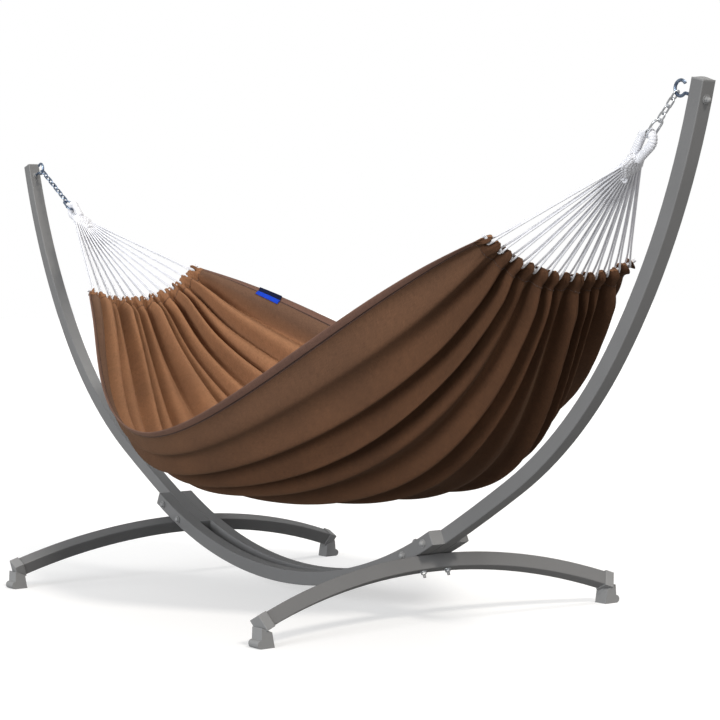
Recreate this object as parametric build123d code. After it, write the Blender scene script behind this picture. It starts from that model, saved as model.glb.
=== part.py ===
"""A fabric hammock hung between the two curved arms of a free-standing steel stand.

Millimetres. X runs along the stand, Y across it and Z up; the origin is on the floor below
the stand's middle. The right side is +X and the near side is -Y. Stand pieces are modelled on
the right and mirrored to the left. The hammock hangs a little nearer the right arm, because
its right chain is the shorter one.
"""
import math
import os

from build123d import *

# Square steel tube, used for the rails, the arms and the base arcs
tube = 40.0
tube_wall = 2.0
tube_corner = 3.0

# Rails: two parallel tubes, bent to one radius and lowest in the middle
rail_radius = 1600.0  # of the centreline
rail_clearance = 42.0  # floor to the lowest underside
rail_reach = 724.0  # middle to each end, along X

# Arms: they start between the rails, follow their bend, and then rise in three bends
arm_overlap = 179.0  # the arm's stretch between the rails, along X
arm_bends = [(7000.0, 320.0), (1265.0, 520.0), (1825.0, 697.0)]  # radius, length

# Base arcs: each stands square to the rails, so it leans outwards to its feet
arc_inset = 84.0  # rail end to the crossing, along X
arc_radius = 1570.0
arc_reach = 580.0  # middle to the tube's end, along Y
seat_gap = 0.05  # between the arm's underside and the arc's crown

# Feet
foot_nose = 20.0  # the foot's reach past the tube's end, along Y
foot_side = 3.0  # the block's width past the tube's side
foot_round = 11.0  # radius of its nose
foot_lean = 7.0  # how far its inner face leans in
foot_lap = 3.0  # its inner face's top, above the tube's underside
foot_brow = 2.0  # its nose's top, back from the round
foot_drop = 4.0  # its nose's top, below the tube's middle
foot_length = 50.0
cap_length = 28.0
cap_wall = 2.6
socket_clearance = 0.35

# Plastic end plugs
plug_plate = 3.0
plug_depth = 18.0
plug_clearance = 0.2
cap_peak = 4.0

# Bolts, washers and nuts
bolt_radius = 4.0
hole_clearance = 0.25
thread_clearance = 0.05
bend_gap = 0.1  # under a washer or head on a tube's bent face
head_flange_radius = 11.0
head_flange = 2.0
dome_radius = 8.5
washer_radius = 11.0
washer_thickness = 1.6
nut_radius = 7.5  # to the corners
nut_height = 6.5
thread_stub = 9.0
side_bolt_insets = [124.0, 32.0]  # rail end to the bolts, along X
button_radius = 7.5
button_height = 4.0
captive_radius = 8.0
captive_height = 10.0

# Hooks at the arms' tops
hook_below_top = 40.0
hook_wire = 4.0
hook_radius = 18.0  # ring centreline
hook_neck = 28.0  # arm face to the hook's bend
hook_bend = 6.0
hook_lift = 8.0  # ring centre above the shank
hook_mouth = 50.0  # degrees, where the tip ends
hook_rest = 35.0  # degrees below the level, where the chain hangs
thread_end = 2.0  # the shank's end past its nut's flat, inside the dome
thread_room = 0.5  # left beyond the shank's end

# Chains
link_wire = 2.25
link_length = 22.0  # inside
link_slack = 2.0  # the links' inside width over the hook's bar
hook_play = 1.2  # the first link's gap to the hook's bar, which its swing needs
play = 0.3  # gap that stands for contact between hanging pieces
links_right = 4
links_left = 10

# Carabiners
clip_wire = 3.0
clip_length = 48.0  # inside
clip_slack = 5.0  # the carabiner's inside width over the end loop's
gate_wire = 2.8
gate_inset = 4.0  # hinge pin inside the straight side's end
gate_gap = 0.5
pin_radius = 1.2
pin_clearance = 0.05
cheek = 1.4
cheek_gap = 0.1
cheek_length = 7.0
pin_press = 0.02  # the pin is held in the cheeks
tongue = 3.6
tongue_gap = 1.0  # the gate's round bar stops this far from its hinge end
tongue_root = 2.0  # the tongue's length inside the bar
nose_start = 3.6

# End loops, necks and suspension cords
loop_wire = 9.0
loop_radius = 20.0
loop_length = 50.0
loop_leg = 9.3
neck_length = 70.0
neck_top = (38.0, 27.0)  # across the hammock's fold, along Y
neck_end = (20.0, 90.0)
neck_corners = (13.0, 9.0)
cord_wire = 2.25
cord_count = 13
cord_spread = 77.0  # first to last cord, at the neck
cord_apart = 3.4  # half of a pair's spacing at the neck
overrun = 4.0  # cords are trimmed to the neck's surface
rope_wire = 4.0
rope_gap = 0.5
knot_radius = 8.0
tunnel_wire = 12.0
tunnel_slack = 1.0
slot = 11.0

# Hammock bed: a cloth trough. Its hems and edges, as (near, far) or one value
bed_thickness = 4.0
hem_right_x = 1198.0
hem_left_x = -897.0
hem_right_half = 236.0
hem_left_half = 199.0
hem_right_z = (1014.0, 951.0)
hem_left_z = (903.0, 976.0)
hem_droop = 67.0
edge_bulge = (362.0, 372.0)  # how much wider the middle is, to each side
edge_sag = (441.0, 341.0)
keel_z = 313.0
bulge_share = (0.59, 0.41)  # of a curve that starts steep at the hems, and of one that starts flat
bulge_power = 0.93
sag_share = (0.43, 0.57)  # of a curve that stays steep to the hems, and of a flatter one
sag_power = 1.73
keel_shift = 0.094  # the lowest place lies this much towards the right hem
keel_power = 2.75
side_rounding = 0.4  # how far the sides' spread bends over in the middle
rise_power = (2.0, 0.7)  # the sides' rise at the hems, and what is added in the middle

# Sewn tag
tag_size = (66.0, 44.0, 1.0)
tag_at = (-0.79, 0.955)

rail_centre_z = rail_clearance + tube / 2 + rail_radius
rail_y = tube  # each rail lies against the arm's side
arm_start = rail_reach - arm_overlap
arc_at = rail_reach - arc_inset
side_bolts_at = [rail_reach - inset for inset in side_bolt_insets]
foot_reach = arc_reach + foot_nose
foot_width = tube + 2 * foot_side
link_width = 2 * hook_wire + link_slack
clip_width = 2 * loop_wire + clip_slack
tunnel_bore = rope_wire + tunnel_slack
hole_radius = bolt_radius + hole_clearance


def both(build):
    """A stand piece on the right, and its mirror image on the left."""
    right = build()
    return {"right": right, "left": mirror(right, about=Plane.YZ)}


def save(name, *pieces):
    """Write one node. Several pieces stay separate solids."""
    solids = [solid for piece in pieces for solid in piece.solids()]
    export_step(solids[0] if len(solids) == 1 else Compound(children=solids), f"parts/{name}.step")
    print(name, len(solids), round(sum(solid.volume for solid in solids)))


# ---------------------------------------------------------------- stand curves


def rail_plane(x, rise=0.0, y=0.0):
    """A frame on the rails' bend: x along the rail, z towards the bend's centre (up)."""
    angle = math.asin(x / rail_radius)
    radius = rail_radius - rise
    origin = (radius * math.sin(angle), y, rail_centre_z - radius * math.cos(angle))
    return Plane(
        origin=origin,
        x_dir=(math.cos(angle), 0, math.sin(angle)),
        z_dir=(-math.sin(angle), 0, math.cos(angle)),
    )


def walk(x, z, heading, radius, length):
    """Follow an upward bend in the XZ plane. Returns the new x, z and heading."""
    turned = heading + length / radius
    new_x = x + radius * (math.sin(turned) - math.sin(heading))
    new_z = z + radius * (math.cos(heading) - math.cos(turned))
    return new_x, new_z, turned


def arm_stations(below_top=0.0):
    """The arm's bends as (x, z, heading, radius, length), cut short below its top."""
    first = math.asin(arm_start / rail_radius)
    joined = math.asin(rail_reach / rail_radius)
    bends = [(rail_radius, rail_radius * (joined - first))] + arm_bends
    x, z, heading = arm_start, rail_centre_z - rail_radius * math.cos(first), first
    stations = []
    for number, (radius, length) in enumerate(bends):
        cut = below_top if number == len(bends) - 1 else 0.0
        stations.append((x, z, heading, radius, length - cut))
        x, z, heading = walk(x, z, heading, radius, length - cut)
    return stations, (x, z, heading)


def arm_plane(below_top=0.0):
    """A frame on the arm's centreline: z up along the arm, x towards the hammock."""
    x, z, heading = arm_stations(below_top)[1]
    return Plane(
        origin=(x, 0, z),
        x_dir=(-math.sin(heading), 0, math.cos(heading)),
        z_dir=(math.cos(heading), 0, math.sin(heading)),
    )


def arm_path():
    edges = []
    for x, z, heading, radius, length in arm_stations()[0]:
        mid_x, mid_z, _ = walk(x, z, heading, radius, length / 2)
        end_x, end_z, _ = walk(x, z, heading, radius, length)
        edges.append(ThreePointArc((x, 0, z), (mid_x, 0, mid_z), (end_x, 0, end_z)))
    return Wire(edges)


def rail_path(y):
    left, middle, right = (rail_plane(x, 0.0, y).origin for x in (-rail_reach, 0.0, rail_reach))
    return ThreePointArc(left, middle, right)


def arc_plane():
    """The right base arc's leaning plane: x is +Y, y is up, the origin is its crown."""
    crossing = rail_plane(arc_at, -tube / 2)
    crown = crossing.origin - crossing.z_dir * (tube / 2 + seat_gap)
    return Plane(origin=crown, x_dir=(0, 1, 0), z_dir=crossing.x_dir)


def arc_end_angle():
    return math.asin(arc_reach / arc_radius)


def arc_point(angle):
    """A point on the arc's centreline, in its own plane's x and y."""
    return arc_radius * math.sin(angle), -arc_radius * (1 - math.cos(angle))


def arc_path():
    plane = arc_plane()
    angles = (-arc_end_angle(), 0.0, arc_end_angle())
    return ThreePointArc(*(plane.from_local_coords((*arc_point(angle), 0)) for angle in angles))


def arc_end_plane(side):
    """A frame at the arc's end: z out along the tube, x square to the arc's plane."""
    plane = arc_plane()
    angle = side * arc_end_angle()
    origin = plane.from_local_coords((*arc_point(angle), 0))
    outwards = plane.x_dir * (side * math.cos(angle)) - plane.y_dir * (side * math.sin(angle))
    return Plane(origin=origin, x_dir=plane.z_dir, z_dir=outwards)


# ------------------------------------------------------------------- tubes


def square_tube(path, across):
    """A hollow square tube along a path; across is the section's own x direction."""
    outside = RectangleRounded(tube, tube, tube_corner)
    inside = RectangleRounded(tube - 2 * tube_wall, tube - 2 * tube_wall, tube_corner - tube_wall)
    section = Plane(origin=path @ 0, x_dir=across, z_dir=path % 0)
    return sweep(section * (outside - inside), path=path)


def side_holes():
    """The through holes of the horizontal bolts, on the right."""
    holes = []
    for x in side_bolts_at:
        centre = rail_plane(x).origin
        holes.append(Pos(*centre) * Rot(90, 0, 0) * Cylinder(hole_radius, 4 * tube))
    return holes


def mirrored(pieces):
    return [mirror(piece, about=Plane.YZ) for piece in pieces]


def crossing_hole(y, radius, low, high):
    """A hole square to the rail at the base arc, from low to high above its underside."""
    plane = rail_plane(arc_at, -tube / 2, y)
    bottom_up = (Align.CENTER, Align.CENTER, Align.MIN)
    return plane * Pos(0, 0, low) * Cylinder(radius, high - low, align=bottom_up)


def rail(y):
    """The right crossing's bolt runs right through; the left one stops at a captive nut."""
    body = square_tube(rail_path(y), (0, 1, 0))
    body -= side_holes() + mirrored(side_holes())
    body -= crossing_hole(y, hole_radius, -1, tube + 1)
    body -= mirrored([crossing_hole(y, hole_radius, -1, tube / 2)])
    return body


def arm():
    return square_tube(arm_path(), (0, 1, 0)) - side_holes() - hook_hole()


def hook_hole():
    plane = arm_plane(hook_below_top)
    return plane * Rot(0, 90, 0) * Cylinder(hook_wire + hole_clearance, 2 * tube)


def base_arc():
    body = square_tube(arc_path(), arc_plane().z_dir)
    return body - [crossing_hole(y, hole_radius, -2 * tube, 1) for y in (-rail_y, rail_y)]


# --------------------------------------------------------------- plastic pieces


def end_plug(plane, peak=0.0):
    """A plate over a tube's end with a stub inside it; local z points out of the tube."""
    bore = tube - 2 * tube_wall - 2 * plug_clearance
    plate = extrude(RectangleRounded(tube, tube, tube_corner), plug_plate)
    stub = extrude(RectangleRounded(bore, bore, 1.0), -plug_depth)
    plug = plate + stub
    if peak:
        wide, narrow = tube - 2 * tube_corner, tube / 4
        top = Pos(0, 0, plug_plate) * Rectangle(wide, wide)
        plug += loft([top, Pos(0, 0, plug_plate + peak) * Rectangle(narrow, narrow)])
    return plane * plug


def rail_plug(y):
    end = rail_plane(rail_reach, 0.0, y)
    return end_plug(Plane(origin=end.origin, x_dir=(0, 1, 0), z_dir=end.x_dir))


def arm_foot_plug():
    end = rail_plane(arm_start)
    return end_plug(Plane(origin=end.origin, x_dir=(0, 1, 0), z_dir=-end.x_dir))


def arm_cap():
    top = arm_plane()
    return end_plug(Plane(origin=top.origin, x_dir=(0, 1, 0), z_dir=top.z_dir), cap_peak)


def foot(side):
    """A cap over the arc's end that flares into a flat-bottomed block with a round nose."""
    end = arc_end_plane(side)
    outer = tube + 2 * cap_wall
    socket = tube + 2 * socket_clearance
    cap = Pos(0, 0, cap_wall) * Box(outer, outer, cap_length, align=(Align.CENTER, Align.CENTER, Align.MAX))
    hollow = Box(socket, socket, cap_length, align=(Align.CENTER, Align.CENTER, Align.MAX))
    cap = fillet(cap.edges(), 1.2)
    level = end.origin.Z
    nose = foot_reach - foot_round
    back = foot_reach - foot_length
    with BuildSketch(Plane.XZ) as profile:
        with BuildLine():
            Polyline(
                (nose, 0),
                (back, 0),
                (back + foot_lean, level - tube / 2 + foot_lap),
                (nose - foot_brow, level - foot_drop),
                (nose, 2 * foot_round),
            )
            ThreePointArc((nose, 2 * foot_round), (foot_reach, foot_round), (nose, 0))
        make_face()
    block = extrude(profile.sketch, foot_width / 2, both=True)
    block = fillet(block.edges().filter_by(GeomType.LINE).group_by(Axis.Z)[-1], 1.5)
    turned = Rot(0, 0, 90 * side) * block
    return end * cap + Pos(end.origin.X, 0, 0) * turned - end * hollow


# ------------------------------------------------------------------ fasteners


def half_ball(radius):
    """A dome with its flat side down, at zero."""
    bottom_up = (Align.CENTER, Align.CENTER, Align.MIN)
    return Sphere(radius, arc_size1=0, arc_size2=90, align=bottom_up)


def domed_bolt(length):
    """Local z points out of the head; the head's underside is at zero."""
    top_down = (Align.CENTER, Align.CENTER, Align.MAX)
    bottom_up = (Align.CENTER, Align.CENTER, Align.MIN)
    flange = Cylinder(head_flange_radius, head_flange, align=bottom_up)
    dome = Pos(0, 0, head_flange) * half_ball(dome_radius)
    return flange + dome + Cylinder(bolt_radius, length, align=top_down)


def washer(radius=washer_radius, bore=hole_radius):
    """Local z points away from the face it lies on."""
    bottom_up = (Align.CENTER, Align.CENTER, Align.MIN)
    return Cylinder(radius, washer_thickness, align=bottom_up) - Cylinder(bore, 4 * washer_thickness)


def nut(height=nut_height, bore=bolt_radius + thread_clearance):
    body = extrude(RegularPolygon(nut_radius, 6), height)
    return body - Cylinder(bore, 4 * height)


def side_face_plane(x, near):
    """A frame on a rail's outer side face, z out of it."""
    centre = rail_plane(x).origin
    out = -1.0 if near else 1.0
    return Plane(origin=(centre.X, out * (rail_y + tube / 2), centre.Z), x_dir=(1, 0, 0), z_dir=(0, out, 0))


def side_bolts():
    across = 2 * rail_y + tube
    length = across + 2 * washer_thickness + nut_height + thread_stub
    raised = [side_face_plane(x, True) * Pos(0, 0, washer_thickness) for x in side_bolts_at]
    return [place * domed_bolt(length) for place in raised]


def side_washers():
    return [side_face_plane(x, near) * washer() for x in side_bolts_at for near in (True, False)]


def side_nuts():
    return [side_face_plane(x, False) * Pos(0, 0, washer_thickness) * nut() for x in side_bolts_at]


def below_arc(y):
    """How far the arc's underside is below the rail's underside, at the outside of a nut at y."""
    inner_radius = arc_radius - tube / 2
    rim = abs(y) + head_flange_radius
    return tube + seat_gap + inner_radius - math.sqrt(inner_radius**2 - rim**2)


def crossing_plane(y, rise, down=False):
    """A frame square to the rail at the base arc, rise above the rail's underside."""
    plane = rail_plane(arc_at, -tube / 2 + rise, y)
    return Plane(origin=plane.origin, x_dir=plane.x_dir, z_dir=-plane.z_dir if down else plane.z_dir)


def crossing_bolts():
    """The right crossing's bolts: heads on the rails, nuts and stubs below the arc."""
    grip = tube + bend_gap + below_arc(rail_y)
    length = grip + washer_thickness + nut_height + thread_stub
    return [crossing_plane(y, tube + bend_gap) * domed_bolt(length) for y in (-rail_y, rail_y)]


def crossing_nuts():
    pieces = []
    for y in (-rail_y, rail_y):
        under = crossing_plane(y, -below_arc(rail_y), down=True)
        pieces += [under * washer(), under * Pos(0, 0, washer_thickness) * nut()]
    return pieces


def button_bolts():
    """The left crossing's bolts, from below the arc up into the rails' captive nuts."""
    bottom_up = (Align.CENTER, Align.CENTER, Align.MIN)
    top_down = (Align.CENTER, Align.CENTER, Align.MAX)
    reach = below_arc(rail_y) + tube_wall + captive_height
    bolt = Cylinder(button_radius, button_height, align=bottom_up) + Cylinder(bolt_radius, reach, align=top_down)
    pieces = [crossing_plane(y, -below_arc(rail_y), down=True) * bolt for y in (-rail_y, rail_y)]
    return mirrored(pieces)


def captive_nuts():
    bottom_up = (Align.CENTER, Align.CENTER, Align.MIN)
    body = Cylinder(captive_radius, captive_height, align=bottom_up)
    body -= Cylinder(bolt_radius + thread_clearance, 4 * captive_height)
    rise = tube_wall + bend_gap
    return mirrored([crossing_plane(y, rise) * body for y in (-rail_y, rail_y)])


# ---------------------------------------------------------------------- hooks


def hook_plane():
    """On the arm's inner face at the hook: x out of the face, y up along the arm."""
    arm_frame = arm_plane(hook_below_top)
    face = arm_frame.origin + arm_frame.x_dir * (tube / 2)
    return Plane(origin=face, x_dir=arm_frame.x_dir, z_dir=arm_frame.x_dir.cross(arm_frame.z_dir))


def hook_centre():
    """The ring's centre in the hook's plane."""
    drop = hook_lift + hook_bend
    along = math.sqrt((hook_radius + hook_bend) ** 2 - drop**2)
    return hook_neck + along, hook_lift


def ring_point(centre, degrees):
    angle = math.radians(degrees)
    return centre[0] + hook_radius * math.cos(angle), centre[1] + hook_radius * math.sin(angle)


def hook():
    """A round bar: its shank leaves the arm, dips round a small bend and turns up into a ring
    that is open towards the arm."""
    centre = hook_centre()
    toward = math.degrees(math.atan2(hook_lift + hook_bend, centre[0] - hook_neck))
    shank_end = -(tube + washer_thickness + nut_height + thread_end)
    joint = ring_point(centre, 180 + toward)
    tip = ring_point(centre, 180 - hook_mouth)
    bottom = ring_point(centre, 0)
    half = math.radians((90 - toward) / 2)
    bend = (hook_neck + hook_bend * math.sin(half), -hook_bend + hook_bend * math.cos(half))
    plane = hook_plane()
    at = lambda point: plane.from_local_coords((*point, 0))
    path = Wire(
        [
            Line(at((shank_end, 0)), at((hook_neck, 0))),
            ThreePointArc(at((hook_neck, 0)), at(bend), at(joint)),
            ThreePointArc(at(joint), at(bottom), at(tip)),
        ]
    )
    section = Plane(origin=path @ 0, x_dir=(0, 1, 0), z_dir=path % 0)
    return sweep(section * Circle(hook_wire), path=path)


def hook_nuts():
    """A washer and a nut inside, a washer and a domed cap nut outside."""
    plane = hook_plane()
    out = plane.x_dir
    inner = Plane(origin=plane.origin + out * bend_gap, x_dir=(0, 1, 0), z_dir=out)
    outer = Plane(origin=plane.origin - out * (tube + bend_gap), x_dir=(0, 1, 0), z_dir=-out)
    dome = Pos(0, 0, nut_height) * half_ball(0.8 * nut_radius)
    bore = Cylinder(hook_wire + thread_clearance, 2 * (nut_height + thread_end + thread_room))
    cap = extrude(RegularPolygon(nut_radius, 6), nut_height) + dome - bore
    lifted = Pos(0, 0, washer_thickness)
    plain = nut(nut_height, hook_wire + thread_clearance)
    return [inner * washer(), outer * washer(), inner * lifted * plain, outer * lifted * cap]


def hang_point(side):
    """Where the chain hangs on the hook: a point on the bar's centreline."""
    centre = hook_plane().from_local_coords((*hook_centre(), 0))
    angle = math.radians(hook_rest)
    point = centre - Vector(hook_radius * math.cos(angle), 0, hook_radius * math.sin(angle))
    return Vector(side * point.X, 0, point.Z)


# ------------------------------------------------------------------ hammock bed


def blend(left, right, u):
    return left + (right - left) * (u + 1) / 2


def bed_point(u, v, lift=0.0):
    """The trough's surface. u runs from the left hem (-1) to the right hem (1), and v from the
    near edge (-1) over the keel (0) to the far edge (1). lift moves it to the trough's inside."""
    middle = 1 - u * u
    bulge = bulge_share[0] * middle**bulge_power + bulge_share[1] * math.cos(math.pi * u / 2) ** 2
    sag = 1 - sag_share[0] * abs(u) ** sag_power - sag_share[1] * math.sin(math.pi * u / 2) ** 2
    edge = 0 if v < 0 else 1
    half = blend(hem_left_half, hem_right_half, u) + edge_bulge[edge] * bulge
    edge_z = blend(hem_left_z[edge], hem_right_z[edge], u) - edge_sag[edge] * sag
    hem_z = blend(sum(hem_left_z) / 2, sum(hem_right_z) / 2, u) - hem_droop
    keel = hem_z - (hem_z - keel_z) * (1 - abs(u - keel_shift * middle) ** keel_power)
    rounding = side_rounding * middle
    y = half * (rounding * math.sin(math.pi * v / 2) + (1 - rounding) * v)
    z = keel + (edge_z - keel) * abs(v) ** (rise_power[0] + rise_power[1] * middle)
    return Vector(blend(hem_left_x, hem_right_x, u), y, z + lift)


def bed_section(u):
    """A closed section of the cloth at one u: the outer curve, and the inner one lifted off it."""
    steps = [number / 8 for number in range(-8, 9)]
    outer = [bed_point(u, v) for v in steps]
    inner = []
    for v, point in zip(steps, outer):
        ahead, behind = bed_point(u, min(v + 0.02, 1)), bed_point(u, max(v - 0.02, -1))
        inward = Vector(1, 0, 0).cross(ahead - behind).normalized()
        inner.append(point + inward * bed_thickness)
    outside, inside = Spline(*outer), Spline(*inner)
    return Face(Wire([outside, Line(outer[-1], inner[-1]), inside, Line(inner[0], outer[0])]))


def bed():
    """The cloth, between the two hem tunnels."""
    end = 1 - 2 * (tunnel_wire + play) / (hem_right_x - hem_left_x)
    sections = [bed_section(end * number / 6) for number in range(-6, 7)]
    return loft(sections)


# -------------------------------------------------------- loops, necks and cords


def hem_arc(side, first=-1.0, last=1.0):
    """The head rope's route from one corner of a hem to the other, or a stretch of it."""
    whole = ThreePointArc(bed_point(side, -1), bed_point(side, 0), bed_point(side, 1))
    at = lambda v: whole @ ((v + 1) / 2)
    return ThreePointArc(at(first), at((first + last) / 2), at(last))


def line_plane(side):
    """The suspension line's frame: origin at the hook, x down the line, y across (world Y)."""
    start = hang_point(side)
    along = (bed_point(side, 0) - start).normalized()
    return Plane(origin=start, x_dir=along, z_dir=along.cross(Vector(0, 1, 0)))


def chain_links(side):
    return links_right if side > 0 else links_left


def chain_end(side):
    """Distance from the hook's bar to the centre of the last link's lower bar."""
    first = link_length - hook_wire - hook_play + link_wire
    return first + (chain_links(side) - 1) * (link_length - play)


def loop_centre(side):
    """Distance from the hook to the centre of the end loop's bend."""
    clip_bar = chain_end(side) - link_wire - play + clip_length + clip_wire
    return clip_bar - clip_wire - play + loop_radius - loop_wire


def neck_start(side):
    return loop_centre(side) + loop_length


def stadium(length, width, wire):
    """A closed link of round bar in the XY plane, long in x. length and width are inside it."""
    half, radius = (length - width) / 2, width / 2 + wire
    path = Wire(
        [
            Line((-half, radius, 0), (half, radius, 0)),
            ThreePointArc((half, radius, 0), (half + radius, 0, 0), (half, -radius, 0)),
            Line((half, -radius, 0), (-half, -radius, 0)),
            ThreePointArc((-half, -radius, 0), (-half - radius, 0, 0), (-half, radius, 0)),
        ]
    )
    section = Plane(origin=path @ 0, z_dir=path % 0)
    return sweep(section * Circle(wire), path=path)


def chain(side):
    """The hanging links in turn: even ones lie flat, across the hammock, odd ones on edge."""
    line = line_plane(side)
    link = stadium(link_length, link_width, link_wire)
    flat, edged = [], []
    top = -hook_wire - hook_play
    for number in range(chain_links(side)):
        turn = 0 if number % 2 == 0 else 90
        placed = line * Pos(top + link_length / 2, 0, 0) * Rot(turn, 0, 0) * link
        (flat if turn == 0 else edged).append(placed)
        top += link_length - play
    return flat, edged


def clip_plane(side):
    """The carabiner's frame: x down the line, y across, its centre at the origin."""
    line = line_plane(side)
    middle = chain_end(side) - link_wire - play + clip_length / 2
    return Plane(origin=line.from_local_coords((middle, 0, 0)), x_dir=line.x_dir, z_dir=line.z_dir)


def clip_sizes():
    """Half the straight side, the bar's centreline radius, and the hinge pin's x."""
    half = (clip_length - clip_width) / 2
    return half, clip_width / 2 + clip_wire, half - gate_inset


def carabiner():
    """The bar runs from the gate's hinge round both bends to the nose; two cheeks hold the pin."""
    half, radius, hinge = clip_sizes()
    path = Wire(
        [
            Line((hinge + nose_start, -radius, 0), (half, -radius, 0)),
            ThreePointArc((half, -radius, 0), (half + radius, 0, 0), (half, radius, 0)),
            Line((half, radius, 0), (-half, radius, 0)),
            ThreePointArc((-half, radius, 0), (-half - radius, 0, 0), (-half, -radius, 0)),
        ]
    )
    section = Plane(origin=path @ 0, z_dir=path % 0)
    body = sweep(section * Circle(clip_wire), path=path)
    level = tongue / 2 + cheek_gap + cheek / 2
    for z in (-level, level):
        body += Pos(hinge + cheek_length / 2, -radius, z) * Box(cheek_length, 2 * clip_wire, cheek)
        body += Pos(hinge, -radius, z) * Cylinder(clip_wire, cheek)
    return body - Pos(hinge, -radius, 0) * Cylinder(pin_radius + pin_press, 4 * clip_wire)


def gate():
    """A straight bar with a flat tongue at its hinge, closed against the nose."""
    half, radius, hinge = clip_sizes()
    tip = -half + gate_gap
    bar_start = hinge - clip_wire - tongue_gap
    bar = Pos((tip + bar_start) / 2, -radius, 0) * Rot(0, 90, 0) * Cylinder(gate_wire, bar_start - tip)
    root = bar_start - tongue_root
    flat = Pos((root + hinge) / 2, -radius, 0) * Box(hinge - root, 2 * gate_wire, tongue)
    eye = Pos(hinge, -radius, 0) * Cylinder(gate_wire, tongue)
    return bar + flat + eye - Pos(hinge, -radius, 0) * Cylinder(pin_radius + pin_clearance, 4 * clip_wire)


def gate_pin():
    _, radius, hinge = clip_sizes()
    return Pos(hinge, -radius, 0) * Cylinder(pin_radius, tongue + 2 * cheek_gap + 2 * cheek)


def bight(centre, along, across, reach, spread, radius):
    """A cord's route round a bar: in from one side, round the bar's far side and back.
    along points from the bar to where both legs start, reach away and spread apart."""
    angle = math.atan2(spread, reach) + math.acos(radius / math.hypot(reach, spread))
    at = lambda x, y: centre + along * x + across * y
    turn_x, turn_y = radius * math.cos(angle), radius * math.sin(angle)
    return Wire(
        [
            Line(at(reach, spread), at(turn_x, turn_y)),
            ThreePointArc(at(turn_x, turn_y), at(-radius, 0), at(turn_x, -turn_y)),
            Line(at(turn_x, -turn_y), at(reach, -spread)),
        ]
    )


def round_cord(path, radius):
    section = Plane(origin=path @ 0, z_dir=path % 0)
    return sweep(section * Circle(radius), path=path)


def trimmed(cord, body):
    """The cord without its ends inside the body."""
    return (cord - body).solids().sort_by(SortBy.VOLUME)[-1]


def end_loop(side, body):
    line = line_plane(side)
    centre = line.from_local_coords((loop_centre(side), 0, 0))
    reach = loop_length + overrun
    path = bight(centre, line.x_dir, line.z_dir, reach, loop_leg, loop_radius)
    return trimmed(round_cord(path, loop_wire), body)


def neck(side):
    """Knotted cords: a round bundle that spreads into a flat fan."""
    line = line_plane(side)
    places = (neck_start(side), neck_start(side) + neck_length)
    ends = []
    for place, (deep, wide), corner in zip(places, (neck_top, neck_end), neck_corners):
        plane = Plane(origin=line.from_local_coords((place, 0, 0)), x_dir=(0, 1, 0), z_dir=line.x_dir)
        ends.append(plane * RectangleRounded(wide, deep, corner))
    return loft(ends)


def cord_stations():
    """Where the cords stand, from -1 to 1 across the hammock."""
    return [2 * (number + 0.5) / cord_count - 1 for number in range(cord_count)]


def suspension_cords(side, body):
    """Each cord leaves the neck, goes round the head rope and comes back beside itself."""
    line = line_plane(side)
    hem = hem_arc(side)
    cords = []
    for station in cord_stations():
        fraction = (station + 1) / 2
        rope = hem @ fraction
        across_neck = station * cord_spread / 2 * cord_count / (cord_count - 1)
        start = line.from_local_coords((neck_start(side) + neck_length - overrun, across_neck, 0))
        along = (start - rope).normalized()
        across = (hem % fraction).cross(along).normalized()
        radius = rope_wire + cord_wire + rope_gap
        path = bight(rope, along, across, (start - rope).length, cord_apart, radius)
        cords.append(trimmed(round_cord(path, cord_wire), body))
    return cords


def head_rope(side):
    """The rope through a hem's tunnel, with a knot outside each end."""
    path = hem_arc(side)
    rope = round_cord(path, rope_wire)
    for fraction, out in ((0, -1), (1, 1)):
        centre = path @ fraction + (path % fraction) * (out * knot_radius * 0.8)
        rope += Pos(*centre) * Sphere(knot_radius)
    return rope


def hem_tunnel(side):
    """The hem's sewn tunnel, open where each cord goes round the rope."""
    length = hem_arc(side).length
    half_slot = slot / length
    marks = [-1.0 - half_slot + play / length] + cord_stations() + [1.0 + half_slot - play / length]
    pieces = []
    for left, right in zip(marks, marks[1:]):
        stretch = hem_arc(side, left + half_slot, right - half_slot)
        section = Plane(origin=stretch @ 0, z_dir=stretch % 0)
        pieces.append(sweep(section * (Circle(tunnel_wire) - Circle(tunnel_bore)), path=stretch))
    return pieces


def tag():
    """A blank cloth tag on the inside of the far edge."""
    u, v = tag_at
    here = bed_point(u, v)
    along = (bed_point(u + 0.02, v) - bed_point(u - 0.02, v)).normalized()
    across = (bed_point(u, v + 0.02) - bed_point(u, v - 0.02)).normalized()
    inward = along.cross(across).normalized()
    origin = here + inward * (bed_thickness + 1.5 + tag_size[2] / 2)
    return Plane(origin=origin, x_dir=along, z_dir=inward) * Box(*tag_size)


# ---------------------------------------------------------------------- nodes


def make_stand():
    save("rail_near", rail(-rail_y))
    save("rail_far", rail(rail_y))
    pairs = {
        "arm": arm,
        "arm_cap": arm_cap,
        "arm_foot_plug": arm_foot_plug,
        "base_arc": base_arc,
        "rail_plug_near": lambda: rail_plug(-rail_y),
        "rail_plug_far": lambda: rail_plug(rail_y),
        "foot_near": lambda: foot(-1),
        "foot_far": lambda: foot(1),
        "hook": hook,
    }
    for name, build in pairs.items():
        for side, piece in both(build).items():
            save(f"{name}_{side}", piece)
    groups = {
        "side_bolts": side_bolts,
        "side_washers": side_washers,
        "side_nuts": side_nuts,
        "hook_nuts": hook_nuts,
    }
    for name, build in groups.items():
        pieces = build()
        save(f"{name}_right", *pieces)
        save(f"{name}_left", *mirrored(pieces))
    save("crossing_bolts_right", *crossing_bolts())
    save("crossing_nuts_right", *crossing_nuts())
    save("crossing_bolts_left", *button_bolts())
    save("captive_nuts_left", *captive_nuts())


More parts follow.
